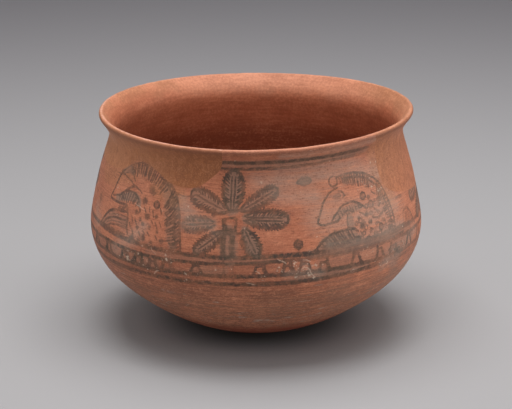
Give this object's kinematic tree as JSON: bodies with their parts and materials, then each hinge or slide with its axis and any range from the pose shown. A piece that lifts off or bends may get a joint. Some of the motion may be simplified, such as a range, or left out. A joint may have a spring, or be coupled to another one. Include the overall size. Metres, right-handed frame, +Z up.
{
  "type": "painted bowl",
  "caption": "Round-bottomed earthenware bowl with a swelling belly, drawn-in neck and thin flared lip, painted with an animal frieze; broken rim made good with plain fills.",
  "frame": {"origin": "middle of the flat spot that the bowl rests on", "axes": "+Z up through the mouth; -Y towards the painted front, between the two animals; +X to the viewer's right"},
  "size_m": [0.19, 0.19, 0.13],
  "materials": {
    "painted_clay": "rubbed red slip with dark brown painted frieze, worn and chipped",
    "brown_fill": "smooth matt toned plaster",
    "orange_fill": "smooth matt toned plaster"
  },
  "bodies": {
    "root": {"clay_body": "painted_clay", "left_fill": "brown_fill", "right_fill": "orange_fill"}
  },
  "joints": []
}
